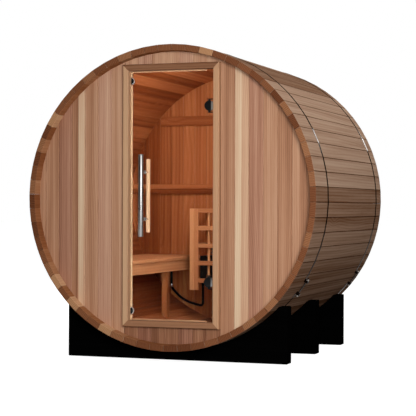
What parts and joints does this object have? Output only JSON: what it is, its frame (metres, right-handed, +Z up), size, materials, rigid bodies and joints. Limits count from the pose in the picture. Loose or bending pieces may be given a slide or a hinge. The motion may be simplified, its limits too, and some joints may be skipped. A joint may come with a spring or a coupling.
{
  "type": "barrel sauna",
  "caption": "Barrel sauna of bevelled cedar staves lying on black saddle cradles, with a hinged glass door in the front wall, a side bench and a guarded heater inside.",
  "frame": {"origin": "on the ground under the middle of the barrel", "axes": "+Z up, the barrel axis along Y with the door facing -Y, +X to the right of someone who faces the door"},
  "size_m": [1.833, 1.66, 1.8925],
  "materials": {
    "stave_cedar": "planed, weathered",
    "wall_cedar": "planed boards",
    "frame_cedar": "planed",
    "inner_cedar": "planed, warm",
    "pale_wood": "sanded",
    "door_glass": "clear toughened",
    "steel": "brushed",
    "black_fitting": "satin black",
    "cradle_black": "matt black",
    "heater_black": "matt black",
    "heater_stone": "rough",
    "conduit_black": "matt"
  },
  "bodies": {
    "sauna": {"staves_bottom": "stave_cedar", "staves_lower_right": "stave_cedar", "staves_right": "stave_cedar", "staves_upper_right": "stave_cedar", "staves_top": "stave_cedar", "staves_upper_left": "stave_cedar", "staves_left": "stave_cedar", "staves_lower_left": "stave_cedar", "front_wall_left": "wall_cedar", "front_wall_right": "wall_cedar", "front_wall_over_door": "wall_cedar", "front_wall_under_sill": "wall_cedar", "back_wall_left": "wall_cedar", "back_wall_right": "wall_cedar", "batten_upper": "inner_cedar", "batten_lower": "inner_cedar", "frame_left": "frame_cedar", "frame_right": "frame_cedar", "frame_header": "frame_cedar", "frame_sill": "frame_cedar", "door_stop": "frame_cedar", "door_catches": "black_fitting", "hinge_upper_bracket": "black_fitting", "hinge_lower_bracket": "black_fitting", "cradle_front": "cradle_black", "cradle_middle": "cradle_black", "cradle_rear": "cradle_black", "band_front": "steel", "band_rear": "steel", "bench_slats": "inner_cedar", "bench_apron": "inner_cedar", "bench_leg": "inner_cedar", "bench_bearers": "inner_cedar", "heater_body": "heater_black", "heater_stones": "heater_stone", "guard_posts": "inner_cedar", "guard_rails": "inner_cedar", "conduit": "conduit_black"},
    "door": {"door_glass": "door_glass", "handle_outer": "steel", "handle_inner": "pale_wood", "hinge_upper_clamp": "black_fitting", "hinge_lower_clamp": "black_fitting"}
  },
  "joints": [
    {"name": "door_hinge", "type": "hinge", "parent": "sauna", "child": "door", "pos_m": [0.237, -0.756, 0.976], "axis": [0, 0, 1], "range_deg": [0, 100]}
  ]
}
